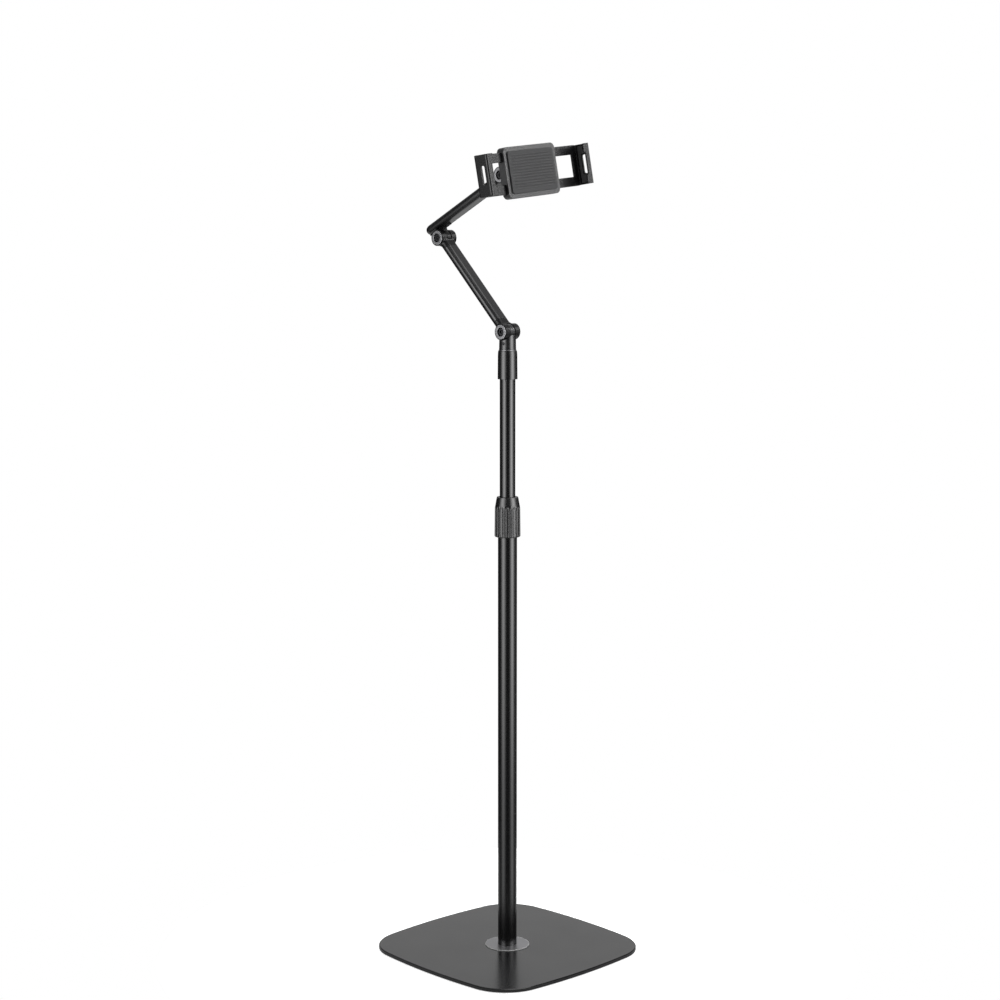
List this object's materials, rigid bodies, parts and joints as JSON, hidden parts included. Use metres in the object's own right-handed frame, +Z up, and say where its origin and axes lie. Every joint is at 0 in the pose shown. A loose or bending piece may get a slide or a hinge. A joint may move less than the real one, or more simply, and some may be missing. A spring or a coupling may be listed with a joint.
{
  "type": "adjustable tablet floor stand",
  "caption": "Floor stand with a flat rounded-square base, telescopic twist-lock pole, folding jointed arm and tilting holder whose sliding jaws grip a tablet.",
  "frame": {"origin": "centre of the base's underside, on the floor and on the pole's axis", "axes": "+Z up along the pole; the arm folds in the YZ plane with every arm pivot along X; the holder faces -Y and the arm leans back to +Y"},
  "size_m": [0.3114, 0.3118, 1.1524],
  "materials": {
    "black_paint": "satin black powder coat",
    "black_tube": "glossy black enamel on steel tube",
    "black_anodised": "black anodised, satin",
    "bright_trim": "satin silver",
    "steel": "zinc plated",
    "black_steel": "black oxide",
    "foot_steel": "satin brushed",
    "black_plastic": "fine matt grain",
    "grey_plastic": "plain moulded",
    "nylon": "natural",
    "rubber": "matt"
  },
  "bodies": {
    "stand": {"base_plate": "black_paint", "base_mat": "rubber", "base_bolt": "steel", "foot_disc": "foot_steel", "foot_plug": "steel", "lower_tube": "black_tube", "tube_ferrule": "black_plastic", "collet": "grey_plastic"},
    "lock_collar": {"lock_collar": "black_plastic"},
    "upper_pole": {"upper_tube": "black_tube", "guide_bush": "grey_plastic", "top_sleeve": "black_anodised", "stop_pin": "black_steel", "swivel_washer": "bright_trim", "swivel_stud": "steel"},
    "neck": {"neck_post": "black_anodised", "neck_screw": "black_steel"},
    "lower_arm": {"lower_arm_bar": "black_anodised", "shoulder_fork": "black_anodised", "elbow_fork": "black_anodised", "lower_arm_bolts": "black_steel", "lower_arm_nuts": "black_steel", "lower_arm_caps": "bright_trim", "lower_arm_washers": "nylon"},
    "upper_arm": {"upper_arm_bar": "black_anodised", "upper_arm_cap": "black_anodised", "elbow_lug": "black_anodised", "elbow_lug_screws": "black_steel", "head_fork": "black_anodised", "head_bolt": "black_steel", "head_nut": "black_steel", "head_caps": "bright_trim", "head_washers": "nylon"},
    "tilt_head": {"tilt_head": "black_anodised", "head_stud": "steel", "head_stud_nut": "steel", "head_pad": "nylon"},
    "holder": {"holder_back": "black_plastic", "holder_front": "black_plastic", "holder_pad": "rubber", "holder_screws": "black_steel", "guide_pin": "steel", "clamp_nut": "steel"},
    "clamp_knob": {"clamp_knob": "black_plastic", "clamp_screw": "steel"},
    "left_jaw": {"left_jaw": "black_paint", "left_jaw_lining": "rubber"},
    "right_jaw": {"right_jaw": "black_paint", "right_jaw_lining": "rubber"}
  },
  "joints": [
    {"name": "collar_turn", "type": "hinge", "parent": "stand", "child": "lock_collar", "pos_m": [0, 0, 0.602], "axis": [0, 0, 1], "range_deg": [0, 150]},
    {"name": "height_slide", "type": "slide", "parent": "stand", "child": "upper_pole", "axis": [0, 0, 1], "range_m": [-0.16, 0.2]},
    {"name": "pan_swivel", "type": "hinge", "parent": "upper_pole", "child": "neck", "pos_m": [0, 0, 0.8665], "axis": [0, 0, 1], "continuous": true},
    {"name": "shoulder", "type": "hinge", "parent": "neck", "child": "lower_arm", "pos_m": [0, 0, 0.891], "axis": [1, 0, 0], "range_deg": [-18, 90]},
    {"name": "elbow", "type": "hinge", "parent": "lower_arm", "child": "upper_arm", "pos_m": [0, 0.12526, 1.02026], "axis": [1, 0, 0], "range_deg": [-100, 45]},
    {"name": "head_tilt", "type": "hinge", "parent": "upper_arm", "child": "tilt_head", "pos_m": [0, 0.00253, 1.10711], "axis": [1, 0, 0], "range_deg": [-80, 45]},
    {"name": "holder_swivel", "type": "hinge", "parent": "tilt_head", "child": "holder", "pos_m": [0, -0.03401, 1.11143], "axis": [0, -0.9931, 0.1175], "continuous": true},
    {"name": "knob_turn", "type": "hinge", "parent": "holder", "child": "clamp_knob", "pos_m": [0.00211, -0.03659, 1.08969], "axis": [0, -0.9931, 0.1175], "range_deg": [0, 270]},
    {"name": "left_jaw_slide", "type": "slide", "parent": "holder", "child": "left_jaw", "axis": [0.9954, 0.0113, 0.0952], "range_m": [-0.005, 0.038]},
    {"name": "right_jaw_slide", "type": "slide", "parent": "holder", "child": "right_jaw", "axis": [-0.9954, -0.0113, -0.0952], "range_m": [-0.005, 0.038]}
  ]
}
